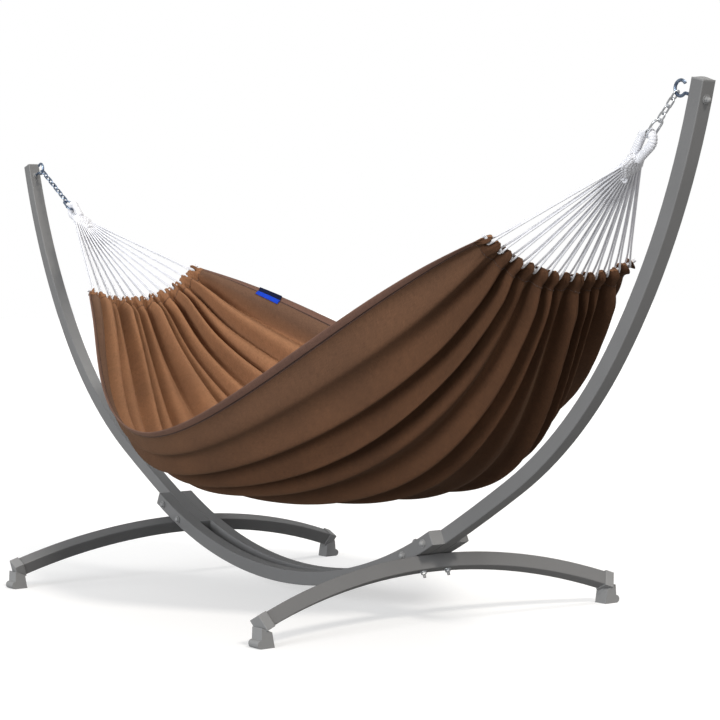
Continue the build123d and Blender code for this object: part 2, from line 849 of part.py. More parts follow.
def make_hammock():
    save("bed", bed())
    save("tag", tag())
    for name, side in (("right", 1), ("left", -1)):
        flat, edged = chain(side)
        save(f"chain_flat_{name}", *flat)
        save(f"chain_edged_{name}", *edged)
        place = clip_plane(side)
        save(f"carabiner_{name}", place * carabiner())
        save(f"gate_{name}", place * gate())
        save(f"gate_pin_{name}", place * gate_pin())
        fan = neck(side)
        save(f"end_loop_{name}", end_loop(side, fan))
        save(f"neck_{name}", fan)
        save(f"cords_{name}", *suspension_cords(side, fan))
        save(f"head_rope_{name}", head_rope(side))
        save(f"hem_tunnel_{name}", *hem_tunnel(side))
        hinge = place.from_local_coords((clip_sizes()[2], -clip_sizes()[1], 0))
        print(f"{name}: hook {hang_point(side)}, gate hinge {hinge}, gate axis {place.z_dir}")


os.makedirs("parts", exist_ok=True)
make_stand()
make_hammock()
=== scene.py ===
"""Garden hammock hung in its steel stand: the looks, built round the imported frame.

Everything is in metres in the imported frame: X along the hammock, Y across it, Z up.
u runs along the bed from the left hem (-1) to the right hem (1), and v across its
cloth from the near edge (-1) over the keel (0) to the far edge (1).
"""

import math

import bmesh
import bpy
import numpy as np
from mathutils import Matrix, Vector


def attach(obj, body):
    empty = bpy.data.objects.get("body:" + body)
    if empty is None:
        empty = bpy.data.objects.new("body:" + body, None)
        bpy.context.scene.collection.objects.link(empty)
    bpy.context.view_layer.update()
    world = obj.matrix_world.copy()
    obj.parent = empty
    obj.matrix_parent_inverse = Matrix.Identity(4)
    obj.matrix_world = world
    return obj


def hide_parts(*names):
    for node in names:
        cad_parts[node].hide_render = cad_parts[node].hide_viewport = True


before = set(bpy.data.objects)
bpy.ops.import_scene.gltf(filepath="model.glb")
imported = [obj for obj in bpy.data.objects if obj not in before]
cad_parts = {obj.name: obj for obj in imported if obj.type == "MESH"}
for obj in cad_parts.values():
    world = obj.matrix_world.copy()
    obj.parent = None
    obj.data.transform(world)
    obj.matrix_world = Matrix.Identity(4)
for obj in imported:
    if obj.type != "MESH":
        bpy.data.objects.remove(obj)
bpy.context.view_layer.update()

# Camera
lens = 105.7
sensor = 36.0
lens_shift = (0.0271, 0.0271)
camera_place = (5.1688, -3.3744, 0.8996)
camera_yaw, camera_pitch, camera_roll = 55.648, 2.4972, -1.0541

# Suspension lines, by end (1 right, -1 left) or one value
hang_x = 1.60929
hang_z = 1.32777
loop_start = {1: 0.1403, -1: 0.2705}  # hook to the middle of the end loop's bend
loop_radius = 0.020
loop_wire = 0.0114
loop_length = 0.050
loop_leg = 0.0093
loop_run_on = 0.006  # how far its legs run on into the neck
neck_length = 0.070
neck_top = (0.038, 0.027)  # across, deep
neck_end = (0.090, 0.020)
net_inset, core_inset = 0.0052, 0.0085  # of the knots and the core, from the net's depth
cord_count = 13
cord_radius = 0.0027
net_taper = 0.58  # share of the neck over which its net runs to a point
cord_apart = 0.0031
rope_radius = 0.004
rope_gap = 0.0005
end_knot = 0.0036
end_knot_wire = 0.0024
rope_pitch = {"cord": 0.017, "head rope": 0.026, "loop wrap": 0.0058}  # one turn of its lay
knot_size, knot_wire = 0.0050, 0.0022  # the net's square knots
neck_strand, neck_root = 0.0021, 0.0026  # cords between knots, and above the first of them
tuft_size, tuft_wire = 0.0075, 0.0034

# Room and floor: what they light, and what the camera sees of them
room_light, room_seen = 0.50, 1.0
floor_light, floor_seen, floor_glow = 0.34, 0.55, 0.5

# Bed: by end (1 right, -1 left), as (near, far), or one value
hem_x = {1: 1.198, -1: -0.897}
hem_half = {1: 0.236, -1: 0.199}
hem_z = {1: (1.014, 0.951), -1: (0.903, 0.976)}
hem_droop = 0.067
edge_bulge = (0.362, 0.372)
edge_sag = (0.441, 0.341)
keel_z = 0.313
cloth_width, cloth_length = 1.60, 2.44  # cut flat
cloth_thickness = 0.0016
fullness = 0.016  # how far the cloth bellies out between the right hem and the middle
fullest_at, fullness_spread = 0.68, 0.2  # both along u
fold_depth = {1: 0.026, -1: 0.034}
fold_reach = 0.85  # distance from a hem over which the folds die away
fold_fan = 0.38  # how much fold lines spread towards the long edges
fold_lean, fold_pinch = 0.85, 0.55
ruffle_depth, ruffle_reach = 0.0026, 0.07
crease_depth = 0.0022
seam_inset = 0.0225
seam_shade = 1 / 350  # half the width of the painted shade along a seam's crease
bed_end_inset = 0.012  # the bed ends this far inside a hem, in its cuff
cuff_length = 0.036
cuff_radius = 0.0145
cuff_notch = 0.0115
cuff_seam_half = 0.0017  # half the cuff's thickness where it is sewn
band_share, stitched_share = 0.985, 0.97  # of the bed's length
edge_stitch_lift, cuff_stitch_lift = 0.0012, 0.0020

tag_size = (0.090, 0.037)
tag_at = (-0.752, 0.978)
tag_lift, tag_crown, tag_thickness = 0.0042, 0.0006, 0.0009


# -------------------------------------------------------------------- numbers


def blend(left, right, u):
    """left at u = -1, right at u = 1, in a straight line between."""
    return left + (right - left) * (u + 1) / 2


def smooth(x):
    """0 below 0 and 1 above 1, with an S-curve between."""
    x = np.clip(x, 0, 1)
    return x * x * (3 - 2 * x)


def unit(vectors):
    return vectors / np.linalg.norm(vectors, axis=-1, keepdims=True)


# ---------------------------------------------------------------- mesh making


def grid_faces(rows, columns, around, capped):
    """Corners of a grid's faces as (row, column) pairs, face by face. A grid that closes
    round its columns has one more column than it has points, and capped ones get end faces."""
    across = columns if around else columns - 1
    row, column = np.meshgrid(np.arange(rows - 1), np.arange(across), indexing="ij")
    quads = np.stack(
        [np.stack([row, column], -1), np.stack([row, column + 1], -1),
         np.stack([row + 1, column + 1], -1), np.stack([row + 1, column], -1)], -2
    ).reshape(-1, 4, 2)
    faces = [quads]
    if capped:
        ring = np.arange(columns)
        faces.append(np.stack([np.zeros(columns, int), ring[::-1]], -1)[None])
        faces.append(np.stack([np.full(columns, rows - 1), ring], -1)[None])
    return faces


def finished(name, parts, material, body):
    """A piece of one or more grids. Each part is points (copies, rows, columns, 3), uv (rows,
    columns or columns + 1, 2) or None, and whether it closes round its columns and has end faces."""
    points, corners, sizes, maps = [], [], [], []
    offset = 0
    for grid, uv, around, capped in parts:
        copies, rows, columns = grid.shape[:3]
        points.append(grid.reshape(-1, 3))
        for faces in grid_faces(rows, columns, around, capped):
            index = faces[..., 0] * columns + faces[..., 1] % columns
            index = index[None] + offset + np.arange(copies)[:, None, None] * rows * columns
            corners.append(index.reshape(-1))
            sizes.append(np.full(copies * len(faces), faces.shape[1]))
            if uv is None:
                maps.append(np.zeros((copies * faces.shape[0] * faces.shape[1], 2)))
            else:
                picked = uv[faces[..., 0], np.minimum(faces[..., 1], uv.shape[1] - 1)]
                maps.append(np.broadcast_to(picked, (copies, *picked.shape)).reshape(-1, 2))
        offset += copies * rows * columns
    points, corners = np.concatenate(points), np.concatenate(corners)
    sizes, maps = np.concatenate(sizes), np.concatenate(maps)
    mesh = bpy.data.meshes.new(name)
    mesh.vertices.add(len(points))
    mesh.vertices.foreach_set("co", points.ravel())
    mesh.loops.add(len(corners))
    mesh.loops.foreach_set("vertex_index", corners.astype(np.int32))
    mesh.polygons.add(len(sizes))
    mesh.polygons.foreach_set("loop_start", (np.cumsum(sizes) - sizes).astype(np.int32))
    mesh.polygons.foreach_set("use_smooth", np.ones(len(sizes), bool))
    mesh.uv_layers.new(name="UVMap").data.foreach_set("uv", maps.ravel())
    mesh.update(calc_edges=True)
    mesh.validate()
    mesh.materials.append(material)
    piece = bpy.data.objects.new(name, mesh)
    bpy.context.scene.collection.objects.link(piece)
    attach(piece, body)
    return piece


def spline_points(points, per_span):
    """The line of a NURBS curve of order 3 with these control points, end to end."""
    curve = bpy.data.curves.new("route", "CURVE")
    curve.dimensions = "3D"
    spline = curve.splines.new("NURBS")
    spline.points.add(len(points) - 1)
    spline.points.foreach_set("co", np.c_[points, np.ones(len(points))].ravel())
    spline.order_u = 3
    spline.use_endpoint_u = True
    spline.resolution_u = per_span
    holder = bpy.data.objects.new("route", curve)
    bpy.context.scene.collection.objects.link(holder)
    line = bpy.data.meshes.new_from_object(holder.evaluated_get(bpy.context.evaluated_depsgraph_get()))
    found = np.empty(len(line.vertices) * 3)
    line.vertices.foreach_get("co", found)
    bpy.data.objects.remove(holder)
    bpy.data.curves.remove(curve)
    bpy.data.meshes.remove(line)
    return found.reshape(-1, 3)


def evenly(line, step):
    """Points about step apart along a line of points, and their distances from its start."""
    gone = np.concatenate([[0], np.cumsum(np.linalg.norm(np.diff(line, axis=0), axis=1))])
    at = np.linspace(0, gone[-1], max(3, int(gone[-1] / step) + 1))
    return np.stack([np.interp(at, gone, line[:, axis]) for axis in range(3)], -1), at


def rings(line, side_way, radius):
    """Rings round a line that lies in a plane square to side_way: radius (rows, columns) out
    along each angle, from the in-plane normal towards side_way."""
    forward = unit(np.gradient(line, axis=0))
    side_way = np.broadcast_to(side_way, forward.shape)
    across = unit(np.cross(side_way, forward))
    third = np.cross(forward, across)
    angle = np.linspace(0, 2 * np.pi, radius.shape[1], endpoint=False)
    out = across[:, None] * np.cos(angle)[None, :, None] + third[:, None] * np.sin(angle)[None, :, None]
    return line[:, None] + out * radius[..., None]


def twisted(line, at, side_way, radius, pitch, columns, strands=3, depth=0.17):
    """A laid rope: a round section with one lobe for each strand, turning once every pitch."""
    angle = np.linspace(0, 2 * np.pi, columns, endpoint=False)
    lobe = np.abs(np.cos(strands / 2 * (angle[None] - 2 * np.pi * at[:, None] / pitch)))
    grid = rings(line, side_way, radius * (1 - depth + depth * lobe))
    girth = np.linspace(0, 2 * np.pi * radius, columns + 1)
    uv = np.stack(np.broadcast_arrays(at[:, None], girth[None]), -1)
    return grid[None], uv


# -------------------------------------------------------------- bed's surface


def trough(u, v):
    """The bed without its folds. Across, the near and far sides spread from the keel with v,
    and rise as a power of it. Along, the keel hangs in one deep curve and the edges in a
    shallower one."""
    middle = np.maximum(1 - u * u, 0)
    bulge = 0.59 * middle**0.93 + 0.41 * np.cos(np.pi * u / 2) ** 2
    sag = 1 - 0.43 * np.abs(u) ** 1.73 - 0.57 * np.sin(np.pi * u / 2) ** 2
    far = v > 0
    half = blend(hem_half[-1], hem_half[1], u) + np.where(far, edge_bulge[1], edge_bulge[0]) * bulge
    near_z = blend(hem_z[-1][0], hem_z[1][0], u) - edge_sag[0] * sag
    far_z = blend(hem_z[-1][1], hem_z[1][1], u) - edge_sag[1] * sag
    hang = blend(sum(hem_z[-1]) / 2, sum(hem_z[1]) / 2, u) - hem_droop
    keel = hang - (hang - keel_z) * (1 - np.abs(u - 0.094 * middle) ** 2.75)
    rounding = 0.4 * middle
    y = half * (rounding * np.sin(np.pi * v / 2) + (1 - rounding) * v)
    z = keel + (np.where(far, far_z, near_z) - keel) * np.abs(v) ** (2 + 0.7 * middle)
    return np.stack(np.broadcast_arrays(blend(hem_x[-1], hem_x[1], u), y, z), -1)


def hem_line(side, v):
    """The head rope's arc: the circle through the hem's two corners and its middle."""
    ends = trough(np.full(3, float(side)), np.array([-1.0, 0.0, 1.0]))[:, 1:]
    a, b, c = ends
    rows = np.array([b - a, c - a])
    centre = np.linalg.solve(2 * rows, np.array([b @ b - a @ a, c @ c - a @ a]))
    turn = [math.atan2(*(point - centre)[::-1]) for point in (a, c)]
    radius = np.linalg.norm(a - centre)
    angle = blend(turn[0], turn[1], np.asarray(v, float))
    y, z = centre[0] + radius * np.cos(angle), centre[1] + radius * np.sin(angle)
    return np.stack(np.broadcast_arrays(float(hem_x[side]), y, z), -1)


def hung(u, v):
    """The trough, drawn onto each head rope's arc over its last stretch."""
    base = trough(u, v)
    for side in (1, -1):
        pull = hem_line(side, v) - trough(np.full_like(v, float(side)), v)
        base = base + pull * (1 - smooth((1 - side * u) / 0.2))[..., None]
    return base


def slopes(u, v):
    """Steps along u and v on the hung surface, each as metres for a whole unit."""
    step = 1e-3
    low_u, high_u = np.clip(u - step, -1, 1), np.clip(u + step, -1, 1)
    along = (hung(high_u, v) - hung(low_u, v)) / (high_u - low_u)[..., None]
    across = (hung(u, v + step) - hung(u, v - step)) / (2 * step)
    return along, across


def from_hem(side, u, v):
    """Rough distance along the cloth from a hem."""
    along, _ = slopes(np.full_like(v, float(side)), v)
    speed = np.linalg.norm(along, axis=-1)
    inward = np.clip(side * u, 0, 1) ** 2
    return (1 - side * u) * (1.1 + (speed - 1.1) * inward)


def fold_wave(side, u, v):
    """Folds gathered by one hem: how far they stand outwards, and how far the cloth slides
    along v. Their lines fan from the hem towards the long edges. The slide is a sine, which
    makes each outward crest narrow and each face between two crests broad, and a cosine, which
    leans the crests towards the keel. Their depth dies away from the hem."""
    distance = from_hem(side, u, v)
    fanned = np.sign(v) * np.abs(v) ** (1 + fold_fan * smooth(distance / 0.9))
    count = cord_count * (fanned + 1) / 2
    turn = 2 * np.pi * (count + 0.10 * np.sin(1.9 * count + side))
    uneven = 1 + 0.34 * np.sin(2.3 * count + 1.4 * side) + 0.24 * np.sin(4.1 * count + 0.7 * side)
    reach = fold_reach * (1 + 0.25 * np.sin(1.3 * count + 2 * side))
    rise = 0.30 + 0.70 * smooth(distance / 0.10)
    fall = 0.75 * np.exp(-((distance / reach) ** 2)) + 0.25 * np.exp(-((distance / (1.6 * reach)) ** 2))
    edge = 1 - 0.85 * smooth((np.abs(v) - 0.80) / 0.20)
    depth = fold_depth[side] * uneven * rise * fall * edge
    slide = smooth((distance - 0.02) / 0.12) * (1 - 0.8 * smooth(distance / 1.1))
    slide = slide * edge / (np.pi * cord_count)
    towards_keel = -v / (np.abs(v) + 0.12)
    shift = slide * (fold_lean * towards_keel * np.cos(turn) - fold_pinch * np.sin(turn))
    ruffle = ruffle_depth * np.sin(3 * turn + 0.9 * np.sin(turn)) * np.exp(-distance / ruffle_reach)
    return depth * np.cos(turn) + ruffle, shift


def cloth(u, v, lift=0.0):
    """A point of the cloth's middle, lift outwards from it. Past a hem it runs straight on."""
    u, v, lift = np.broadcast_arrays(np.asarray(u, float), np.asarray(v, float), lift)
    inside = np.clip(u, -1, 1)
    right, right_shift = fold_wave(1, inside, v)
    left, left_shift = fold_wave(-1, inside, v)
    creases = crease_depth * np.sin(9.0 * v + 2.0 * inside) * np.sin(7.0 * inside + 3.0 * v)
    shifted = v + right_shift + left_shift
    along, across = slopes(inside, shifted)
    outward = -unit(np.cross(along, across))
    past = (u - inside)[..., None] * along
    belly = fullness * np.exp(-(((inside - fullest_at) / fullness_spread) ** 2)) * (1 - v**4)
    return hung(inside, shifted) + past + outward * (right + left + creases + belly + lift)[..., None]


def surface_normal(u, v):
    """Outward direction of the folded cloth."""
    step = 1.5e-3
    along = cloth(np.clip(u + step, -1, 1), v) - cloth(np.clip(u - step, -1, 1), v)
    across = cloth(u, v + step) - cloth(u, v - step)
    return -unit(np.cross(along, across))


# ------------------------------------------------------------------ materials


class Nodes:
    """A material's node tree, with short calls for the nodes it is made of."""

    def __init__(self, name, **constants):
        self.material = bpy.data.materials.new(name)
        self.material.use_nodes = True
        self.tree = self.material.node_tree
        self.shader = self.tree.nodes["Principled BSDF"]
        for socket, value in constants.items():
            self.shader.inputs[socket.replace("_", " ")].default_value = value

    def add(self, kind, inputs=(), **settings):
        node = self.tree.nodes.new(kind)
        for name, value in settings.items():
            setattr(node, name, value)
        for socket, value in dict(inputs).items():
            if hasattr(value, "is_output"):
                self.tree.links.new(value, node.inputs[socket])
            else:
                node.inputs[socket].default_value = value
        return node

    def place(self, kind="Object", scale=(1, 1, 1), turn=(0, 0, 0)):
        source = self.add("ShaderNodeTexCoord").outputs[kind]
        inputs = {"Vector": source, "Scale": scale, "Rotation": turn}
        return self.add("ShaderNodeMapping", inputs).outputs[0]

    def noise(self, where, scale, detail=3.0, roughness=0.55):
        inputs = {"Vector": where, "Scale": scale, "Detail": detail, "Roughness": roughness}
        return self.add("ShaderNodeTexNoise", inputs).outputs["Fac"]

    def ramp(self, factor, stops):
        node = self.add("ShaderNodeValToRGB", {"Fac": factor})
        for _ in range(len(stops) - 2):
            node.color_ramp.elements.new(0.5)
        for element, (position, colour) in zip(node.color_ramp.elements, stops):
            element.position = position
            element.color = (*colour, 1) if len(colour) == 3 else colour
        return node.outputs["Color"]

    def mix(self, factor, first, second, kind="MIX"):
        node = self.add("ShaderNodeMix", data_type="RGBA", blend_type=kind)
        for socket, value in ((0, factor), (6, first), (7, second)):
            if hasattr(value, "is_output"):
                self.tree.links.new(value, node.inputs[socket])
            else:
                node.inputs[socket].default_value = value if socket == 0 else (*value, 1)
        return node.outputs[2]

    def maths(self, operation, first, second=0.0):
        return self.add("ShaderNodeMath", {0: first, 1: second}, operation=operation).outputs[0]

    def range(self, value, low, high):
        return self.add("ShaderNodeMapRange", {"Value": value, "To Min": low, "To Max": high}).outputs[0]

    def bump(self, height, distance, strength=1.0):
        inputs = {"Height": height, "Distance": distance, "Strength": strength}
        return self.add("ShaderNodeBump", inputs).outputs["Normal"]

    def wire(self, **sockets):
        for socket, value in sockets.items():
            self.tree.links.new(value, self.shader.inputs[socket.replace("_", " ")])
        return self.material


def powder_coat(name, colour, roughness):
    """Satin powder coating: an even grey with orange-peel grain and a faint drift in tone."""
    nodes = Nodes(name, Metallic=0.0, Specular_IOR_Level=0.45)
    where = nodes.place()
    darker, lighter = [0.93 * part for part in colour], [1.06 * part for part in colour]
    tone = nodes.ramp(nodes.noise(where, 3.0), [(0.3, darker), (0.7, lighter)])
    grain = nodes.noise(where, 700.0, 4.0, 0.6)
    rough = nodes.range(nodes.noise(where, 40.0), roughness - 0.05, roughness + 0.07)
    return nodes.wire(Base_Color=tone, Roughness=rough, Normal=nodes.bump(grain, 0.0004, 0.5))


def plated(name, light, dark, roughness):
    """Plated steel: metal whose tone is clouded, with fine drawn marks."""
    nodes = Nodes(name, Metallic=1.0)
    where = nodes.place()
    cloud = nodes.noise(where, 90.0, 5.0)
    tone = nodes.ramp(cloud, [(0.35, dark), (0.65, light)])
    rough = nodes.range(nodes.noise(where, 260.0), roughness - 0.08, roughness + 0.12)
    marks = nodes.noise(nodes.place(scale=(1, 1, 6)), 600.0)
    return nodes.wire(Base_Color=tone, Roughness=rough, Normal=nodes.bump(marks, 0.0002, 0.35))


def canvas(name, light, dark, seam=None, edge=None, thread_pitch=0.0011):
    """Heathered cotton canvas: over-and-under threads, and lighter and darker yarns that run
    with the weave, on the cloth's own flat coordinates. seam is how far from the cloth's middle
    a stitched line draws it in and paints shade along it, and edge a painted tint of light and
    shade that comes in towards its two long edges, with the shares of half its width where that
    starts and ends."""
    nodes = Nodes(name, Roughness=0.88, Sheen_Weight=0.08, Sheen_Roughness=0.45, Specular_IOR_Level=0.15)
    nodes.shader.inputs["Sheen Tint"].default_value = (0.95, 0.62, 0.38, 1)
    flat = nodes.place("UV")
    split = nodes.add("ShaderNodeSeparateXYZ", {"Vector": flat})
    per_metre = 2 * math.pi / (2 * thread_pitch)
    warp = nodes.maths("SINE", nodes.maths("MULTIPLY", split.outputs[0], per_metre))
    weft = nodes.maths("SINE", nodes.maths("MULTIPLY", split.outputs[1], per_metre))
    weave = nodes.maths("MULTIPLY", warp, weft)
    long_yarns = nodes.noise(nodes.place("UV", scale=(60, 1400, 1)), 1.0, 2.0)
    cross_yarns = nodes.noise(nodes.place("UV", scale=(1400, 60, 1)), 1.0, 2.0)
    cloud = nodes.noise(nodes.place("UV", scale=(3, 3, 1)), 2.0, 4.0)
    half_long, half_cross = (nodes.maths("MULTIPLY", tones, 0.5) for tones in (long_yarns, cross_yarns))
    yarns = nodes.maths("ADD", half_long, half_cross)
    tone = nodes.ramp(yarns, [(0.36, dark), (0.64, light)])
    drift = nodes.ramp(cloud, [(0.3, (0.86, 0.86, 0.88)), (0.7, (1.08, 1.06, 1.04))])
    colour = nodes.mix(1.0, tone, drift, "MULTIPLY")
    if edge is not None:
        share = nodes.maths("MULTIPLY", nodes.maths("ABSOLUTE", split.outputs[1]), 2 / cloth_width)
        start, end, tint = edge
        level = max(1.0, *tint)
        # Painted light and shade towards the long edges: the middle is scaled down and the edges tinted
        # towards the given colour.
        painted_edge_tone = nodes.ramp(share, [(start, (1 / level,) * 3), (end, [part / level for part in tint])])
        colour = nodes.mix(1.0, colour, painted_edge_tone, "MULTIPLY")
    if seam is not None:
        past_seam = nodes.maths("SUBTRACT", nodes.maths("ABSOLUTE", split.outputs[1]), seam)
        away = nodes.maths("MULTIPLY", nodes.maths("ABSOLUTE", past_seam), 1 / seam_shade)
        # Painted shade: a dark line along the seam's crease, fading out within seam_shade of it.
        drawn = nodes.ramp(away, [(0.45, (0.16, 0.16, 0.16)), (1.0, (1, 1, 1))])
        colour = nodes.mix(1.0, colour, drawn, "MULTIPLY")
    rough = nodes.range(yarns, 0.8, 0.95)
    fine = nodes.bump(nodes.range(weave, 0.0, 1.0), 0.0004, 0.6)
    return nodes.wire(Base_Color=colour, Roughness=rough, Normal=fine)


def cotton(name, light, dark):
    """Undyed cotton: creamy fibres, with painted shade in the hollows of their fine grain."""
    nodes = Nodes(name, Roughness=0.9, Sheen_Weight=0.3, Sheen_Roughness=0.5, Specular_IOR_Level=0.25)
    where = nodes.place()
    fibre = nodes.noise(where, 1100.0, 3.0)
    cloud = nodes.noise(where, 35.0, 3.0)
    tone = nodes.ramp(cloud, [(0.3, dark), (0.7, light)])
    # Painted shade: darker where the bump's fibre grain is low.
    shade = nodes.ramp(fibre, [(0.3, (0.86, 0.86, 0.87)), (0.7, (1.04, 1.04, 1.03))])
    colour = nodes.mix(1.0, tone, shade, "MULTIPLY")
    return nodes.wire(Base_Color=colour, Normal=nodes.bump(fibre, 0.0006, 0.8))


def two_tone_cloth(name, upper, lower, middle):
    """A woven tag, its upper part one colour and its lower part another, with fine ribs."""
    nodes = Nodes(name, Roughness=0.85, Specular_IOR_Level=0.1)
    split = nodes.add("ShaderNodeSeparateXYZ", {"Vector": nodes.place("UV")})
    above = nodes.maths("GREATER_THAN", split.outputs[1], middle)
    rib = nodes.maths("SINE", nodes.maths("MULTIPLY", split.outputs[1], 2 * math.pi / 0.0008))
    cloud = nodes.noise(nodes.place("UV", scale=(900, 900, 1)), 1.0)
    base = nodes.mix(above, lower, upper)
    shade = nodes.ramp(cloud, [(0.3, (0.85, 0.85, 0.85)), (0.7, (1.1, 1.1, 1.1))])
    colour = nodes.mix(1.0, base, shade, "MULTIPLY")
    return nodes.wire(Base_Color=colour, Normal=nodes.bump(rib, 0.0002, 0.5))


steel = powder_coat("grey_powder_coat", (0.146, 0.146, 0.147), 0.46)
plastic = powder_coat("grey_nylon", (0.215, 0.216, 0.217), 0.52)
zinc = plated("bright_zinc", (0.80, 0.82, 0.84), (0.55, 0.57, 0.60), 0.3)
dark_steel = plated("hook_steel", (0.34, 0.42, 0.54), (0.12, 0.16, 0.24), 0.32)
# Painted light towards the outside's long edges, where its upper part catches light, and painted shade
# towards the inside's long edges, where it stands steep and turned from the light; both bluer there.
painted_light_edge = (0.66, 0.95, (1.45, 1.62, 1.85))
painted_shade_edge = (0.86, 0.92, (0.47, 0.53, 0.66))
# The outside canvas is painted darker than the inside, as painted shade on the face turned from the
# light; the inside canvas is its lit copy.
canvas_outside_painted_shade = canvas("brown_canvas_outside_painted_shade", (0.170, 0.078, 0.038), (0.092, 0.042, 0.021), edge=painted_light_edge)
canvas_inside_painted_light = canvas("brown_canvas_inside_painted_light", (0.310, 0.152, 0.076), (0.180, 0.085, 0.042), edge=painted_shade_edge)
hem_seam = cloth_width / 2 - seam_inset
# The hem band's canvas carries painted shade along its stitched seam.
hem_brown = canvas("brown_canvas_hem", (0.160, 0.089, 0.066), (0.095, 0.053, 0.040), hem_seam)
thread = cotton("brown_thread", (0.060, 0.030, 0.020), (0.040, 0.020, 0.014))
white = cotton("white_cotton", (0.78, 0.785, 0.82), (0.66, 0.665, 0.70))
tag_cloth = two_tone_cloth("tag_cloth", (0.006, 0.009, 0.030), (0.008, 0.045, 0.42), 0.0)


def dress_frame():
    """Give each CAD part that stays in sight the finish of its own stuff."""
    finishes = {
        "rail_plug": plastic, "arm_cap": plastic, "arm_foot_plug": plastic, "foot_": plastic,
        "rail_": steel, "arm_": steel, "base_arc": steel,
        "hook_nuts": plastic, "hook_": dark_steel,
        "side_bolts": plastic, "side_washers": plastic, "crossing_bolts": plastic,
        "side_nuts": zinc, "crossing_": zinc, "captive_nuts": zinc,
        "chain_flat_left": dark_steel, "chain_edged_left": dark_steel, "chain_": zinc,
        "carabiner_left": dark_steel, "gate_left": dark_steel, "carabiner": zinc, "gate_": zinc,
    }
    for name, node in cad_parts.items():
        finish = next((finishes[start] for start in finishes if name.startswith(start)), None)
        if finish is not None:
            for place in node.material_slots:
                place.material = finish


# ----------------------------------------------------------------- the bed


def rows_toward_hems(count):
    """u values that crowd towards both hems."""
    t = np.linspace(-1, 1, count)
    return 0.62 * np.sin(np.pi * t / 2) + 0.38 * t


def hem_u(side, v, distance):
    """u at a distance inwards from a hem, or outwards if it is negative."""
    along, _ = slopes(np.full_like(v, float(side)), v)
    return side * (1 - distance / np.linalg.norm(along, axis=-1))


def make_bed():
    """The cloth between the two head ropes, a grid of u and v with its cut size as its map."""
    u, v = np.meshgrid(rows_toward_hems(230), np.linspace(-1, 1, 13 * 16 + 1), indexing="ij")
    limit_right = hem_u(1, v, bed_end_inset)
    limit_left = hem_u(-1, v, bed_end_inset)
    u = limit_left + (limit_right - limit_left) * (u + 1) / 2
    uv = np.stack([u * cloth_length / 2, v * cloth_width / 2], -1)
    bed = finished("bed_cloth", [(cloth(u, v)[None], uv, False, False)], canvas_outside_painted_shade, "hammock")
    bed.data.materials.append(canvas_inside_painted_light)
    wall = bed.modifiers.new("cloth thickness", "SOLIDIFY")
    wall.thickness = cloth_thickness
    wall.offset = 0.0
    # The shell's inner faces take the lighter inside canvas and the outer faces the darker outside one:
    # painted light inside, painted shade outside.
    wall.material_offset = 1
    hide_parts("bed")
    return bed


def cuff_section(columns):
    """A teardrop round the head rope: distance inwards and height, both as lengths. Half a
    circle past the rope, then two flanks that draw in to the seam."""
    round_part = np.linspace(np.pi / 2, 3 * np.pi / 2, columns // 3)
    flank = np.linspace(0, 1, columns // 3 + 1)[1:]
    height = cuff_seam_half + (cuff_radius - cuff_seam_half) * (1 + np.cos(np.pi * flank)) / 2
    past_rope = cuff_radius * np.cos(round_part)
    distance = np.concatenate([past_rope, cuff_length * flank, cuff_length * flank[::-1]])
    lift = np.concatenate([cuff_radius * np.sin(round_part), -height, height[::-1]])
    return distance, lift


def make_cuffs(side, name):
    """The hem's sewn tunnel: one puffed stretch of cloth between each two cords, gathered on
    the rope in small ruffles, notched for the cords and joined behind the notches."""
    distance, lift = cuff_section(27)
    marks = np.concatenate([[-1.0], 2 * (np.arange(cord_count) + 0.5) / cord_count - 1, [1.0]])
    hem_length = 2.3 * hem_half[side]
    stretches = np.stack([marks[:-1], marks[1:]], -1)
    local = np.sin(np.linspace(-np.pi / 2, np.pi / 2, 15)) * 0.5 + 0.5
    notch = cuff_notch / 2 / hem_length * 2 * (1 - smooth((distance - 0.008) / 0.012))
    wide = stretches[:, 1] - stretches[:, 0]
    low = stretches[:, 0, None] + np.minimum(notch[None], 0.3 * wide[:, None])
    high = stretches[:, 1, None] - np.minimum(notch[None], 0.3 * wide[:, None])
    v = low[:, None] + (high - low)[:, None] * local[None, :, None]
    pinch = np.sqrt(np.clip(1 - np.abs(2 * local - 1) ** 2.2, 0.02, 1))
    number = np.arange(len(stretches))[:, None]
    wide_gathers = 0.10 * np.sin(2 * np.pi * 3 * local[None] + 1.7 * number)
    fine_gathers = 0.06 * np.sin(2 * np.pi * 5 * local[None] + 0.9 * number)
    gathers = 1 + wide_gathers + fine_gathers
    puff = (pinch[None] * gathers)[..., None]
    near_rope = 1 - smooth(distance / cuff_length)[None, None]
    height = lift[None, None] * (1 + near_rope * (puff - 1))
    ahead = distance[None, None] * np.where(distance < 0, puff, 1.0)
    u = hem_u(side, v, ahead)
    points = cloth(u, v, height)
    girth = np.concatenate([[0], np.cumsum(np.hypot(np.diff(distance), np.diff(lift)))])
    girth = np.append(girth, girth[-1] + 0.003)
    uv = np.stack(np.broadcast_arrays((local * 0.1)[:, None], girth[None]), -1)
    part = (points, uv[..., ::-1], True, True)
    cuffs = finished(f"hem_cuffs_{name}", [part], canvas_outside_painted_shade, "hammock")
    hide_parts(f"hem_tunnel_{name}")
    cuffs.data.materials.append(canvas_inside_painted_light)
    # The cuff's inner half takes the lighter inside canvas and its outer half the darker outside one:
    # painted light and painted shade.
    column = np.arange(len(cuffs.data.polygons)) % len(lift)
    inner = (lift + np.roll(lift, -1))[column] < 0
    cuffs.data.polygons.foreach_set("material_index", inner.astype(np.int32))
    recalculated(cuffs)
    return cuffs


def recalculated(piece):
    """Turn a closed piece's faces outwards."""
    work = bmesh.new()
    work.from_mesh(piece.data)
    bmesh.ops.recalc_face_normals(work, faces=work.faces)
    work.to_mesh(piece.data)
    work.free()


